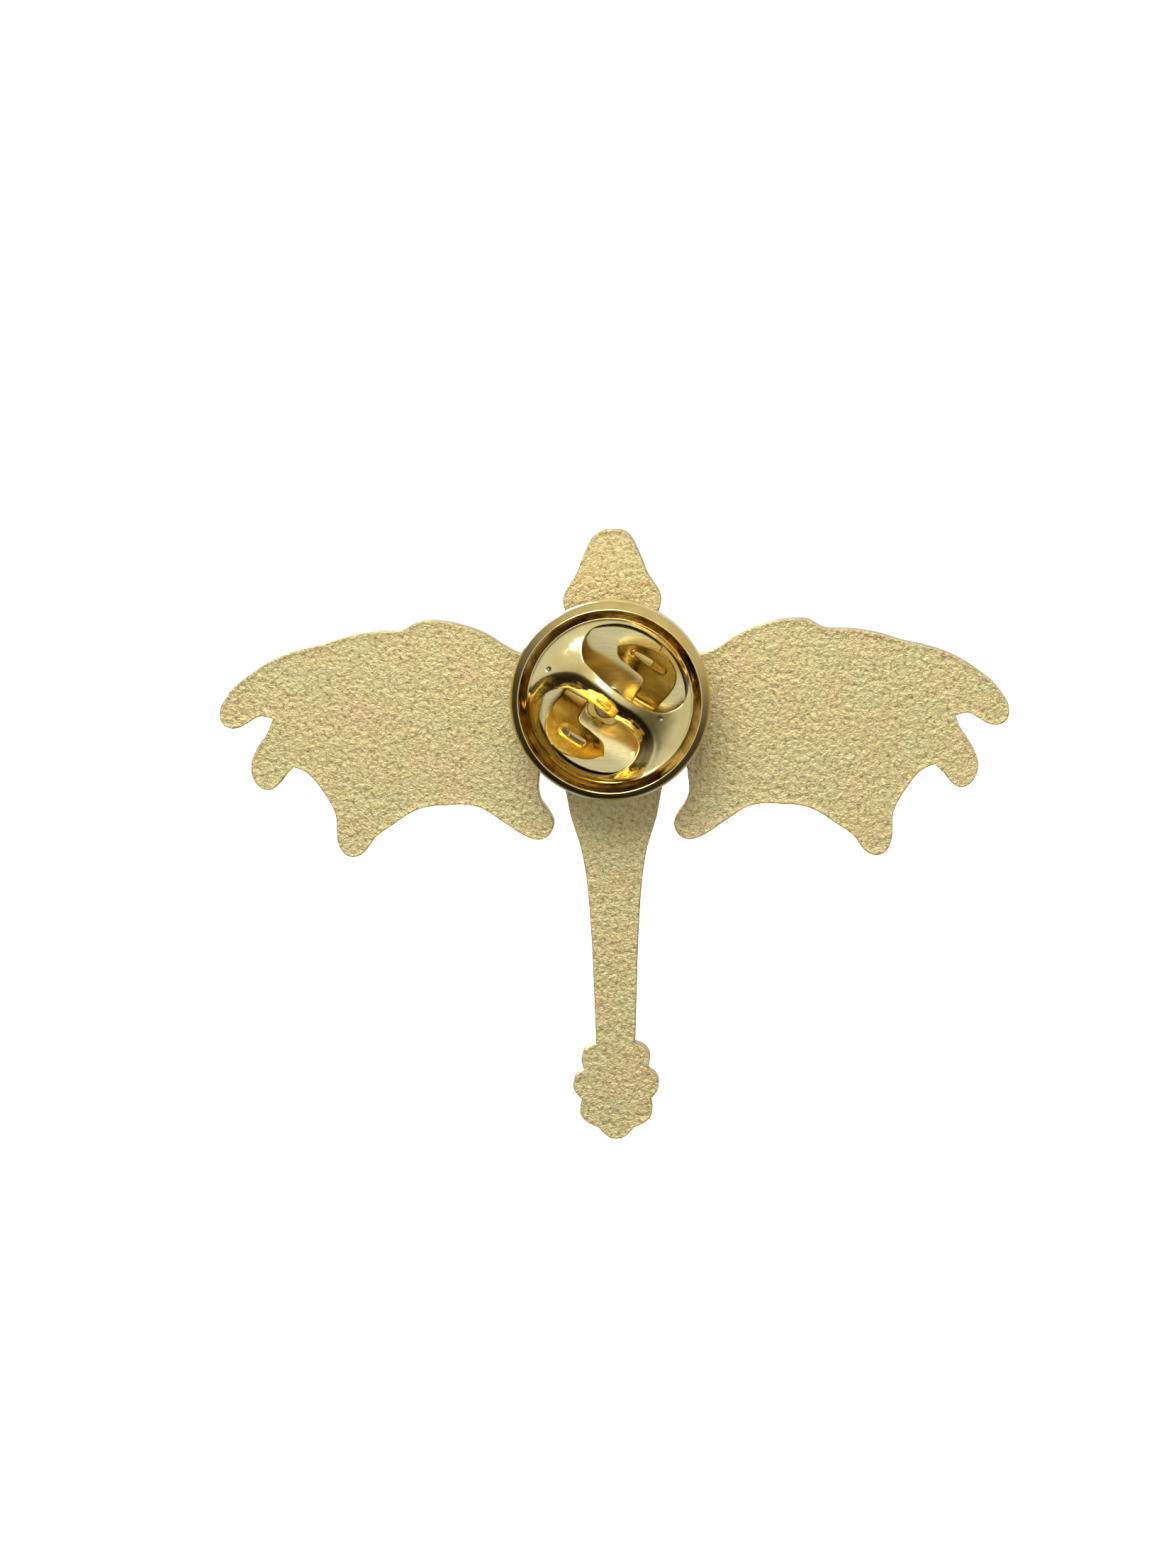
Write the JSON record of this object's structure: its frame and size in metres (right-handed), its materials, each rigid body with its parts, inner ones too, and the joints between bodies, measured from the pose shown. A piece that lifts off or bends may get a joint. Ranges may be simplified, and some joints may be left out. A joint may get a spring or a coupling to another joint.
{
  "type": "butterfly clutch lapel pin",
  "caption": "Dragon-shaped lapel pin: die-struck plate with enamel cells, a soldered tack post and a butterfly clutch with two squeeze wings.",
  "frame": {"origin": "on the post's axis at the plate's back face, where the pin meets the cloth", "axes": "worn upright: +Z to the dragon's head, +Y out of the back along the post, X across the wings"},
  "size_m": [0.0446, 0.0088, 0.0347],
  "materials": {
    "sandblasted_gold_plate": "sandblasted, pale gold plated",
    "bright_gold_plate": "polished, gold plated",
    "post_steel": "drawn, nickel plated",
    "solder": "tin solder, as flowed",
    "spring_steel": "drawn spring wire",
    "enamel_bone": "soft enamel, dark red",
    "enamel_membrane": "soft enamel, red",
    "enamel_body": "soft enamel, blue black",
    "enamel_scale": "soft enamel, slate",
    "enamel_amber": "soft enamel, amber"
  },
  "bodies": {
    "badge": {"dragon_plate": "sandblasted_gold_plate", "enamel_arm_left": "enamel_bone", "enamel_arm_right": "enamel_bone", "enamel_back": "enamel_scale", "enamel_club_core": "enamel_amber", "enamel_club_end": "enamel_body", "enamel_club_heel_left": "enamel_body", "enamel_club_heel_right": "enamel_body", "enamel_club_side_left": "enamel_body", "enamel_club_side_right": "enamel_body", "enamel_club_top": "enamel_body", "enamel_crown": "enamel_body", "enamel_eye_left": "enamel_amber", "enamel_eye_right": "enamel_amber", "enamel_finger_tip_left": "enamel_bone", "enamel_finger_tip_right": "enamel_bone", "enamel_hips": "enamel_scale", "enamel_loin": "enamel_body", "enamel_membrane_elbow_left": "enamel_membrane", "enamel_membrane_elbow_right": "enamel_membrane", "enamel_membrane_flank_left": "enamel_membrane", "enamel_membrane_flank_right": "enamel_membrane", "enamel_membrane_inner_left": "enamel_membrane", "enamel_membrane_inner_right": "enamel_membrane", "enamel_membrane_middle_left": "enamel_membrane", "enamel_membrane_middle_right": "enamel_membrane", "enamel_membrane_outer_left": "enamel_membrane", "enamel_membrane_outer_right": "enamel_membrane", "enamel_nape": "enamel_scale", "enamel_shoulders": "enamel_body", "enamel_snout": "enamel_body", "enamel_tail_1": "enamel_body", "enamel_tail_2": "enamel_scale", "enamel_tail_3": "enamel_body", "enamel_tail_4": "enamel_scale", "enamel_tail_5": "enamel_body", "enamel_tail_6": "enamel_scale", "solder_ring": "solder", "tack_post": "post_steel"},
    "clutch_disc": {"clutch_base": "bright_gold_plate"},
    "clutch": {"clutch_cap": "bright_gold_plate", "clutch_spring": "spring_steel"},
    "wing_a": {"clutch_wing_a": "bright_gold_plate"},
    "wing_b": {"clutch_wing_b": "bright_gold_plate"}
  },
  "joints": [
    {"name": "clutch_slide", "type": "slide", "parent": "badge", "child": "clutch_disc", "axis": [0, 1, 0], "range_m": [0, 0.0046]},
    {"name": "clutch_turn", "type": "hinge", "parent": "clutch_disc", "child": "clutch", "pos_m": [0, 0, 0], "axis": [0, 1, 0], "continuous": true},
    {"name": "wing_a_squeeze", "type": "slide", "parent": "clutch", "child": "wing_a", "axis": [0.524, 0, -0.8517], "range_m": [0, 0.0005], "stiffness_N_per_m": 400, "springref_m": -0.001, "deforming": ["clutch_spring"]},
    {"name": "wing_b_squeeze", "type": "slide", "parent": "clutch", "child": "wing_b", "axis": [-0.524, 0, 0.8517], "range_m": [0, 0.0005]}
  ],
  "couplings": [
    {"joint": "wing_b_squeeze", "follows": "wing_a_squeeze", "ratio": 1}
  ]
}
